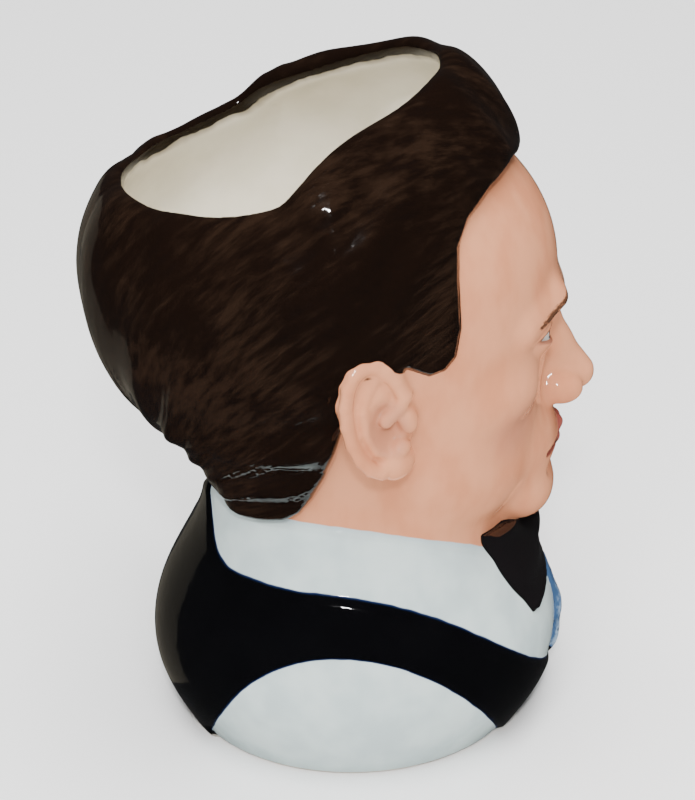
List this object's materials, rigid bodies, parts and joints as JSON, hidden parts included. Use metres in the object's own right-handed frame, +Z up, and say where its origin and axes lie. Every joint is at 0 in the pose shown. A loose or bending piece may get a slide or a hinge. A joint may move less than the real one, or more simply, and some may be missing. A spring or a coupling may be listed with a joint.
{
  "type": "toby jug",
  "caption": "Small glazed character jug: hollow head and shoulders of a dark-haired figure in collar, bow tie and waistcoat, open at the crown, with a loop handle on the figure's left.",
  "frame": {"origin": "on the table, below the middle of the bounding box", "axes": "+Z up; the figure's face looks along -Y and its left hand side, with the handle, is +X"},
  "size_m": [0.0732, 0.0762, 0.105],
  "materials": {
    "glaze": "gloss"
  },
  "bodies": {
    "root": {"jug": "glaze"}
  },
  "joints": []
}
